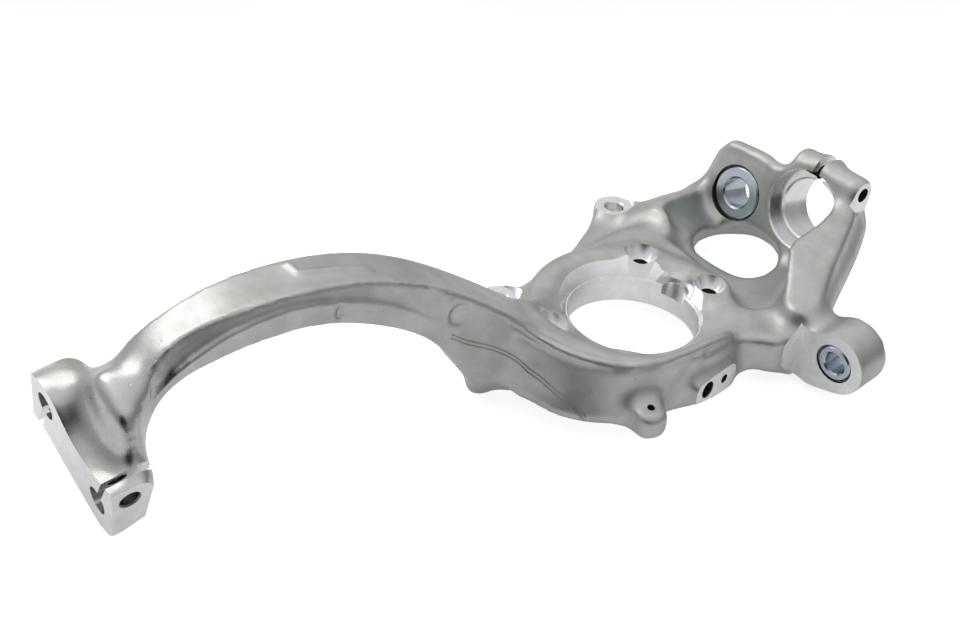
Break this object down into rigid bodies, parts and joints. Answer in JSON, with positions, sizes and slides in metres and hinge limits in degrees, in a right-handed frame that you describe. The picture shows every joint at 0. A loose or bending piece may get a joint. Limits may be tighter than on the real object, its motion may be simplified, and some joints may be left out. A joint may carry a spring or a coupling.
{
  "type": "steering knuckle",
  "caption": "Aluminium steering knuckle with a swan-neck arm, a split head for ball pins, a hub ring, a split clamp and pressed-in steel sleeves.",
  "frame": {"origin": "centre of the hub bore in the outboard flange face", "axes": "+Z inboard along the wheel axis; -X along the swan-neck arm towards the split head; +X towards the lower joints"},
  "size_m": [0.6294, 0.2727, 0.1404],
  "materials": {
    "cast_aluminium": "satin",
    "zinc_steel": "satin"
  },
  "bodies": {
    "root": {"knuckle_body": "cast_aluminium", "far_joint_sleeve": "zinc_steel", "near_joint_sleeve": "zinc_steel"}
  },
  "joints": []
}
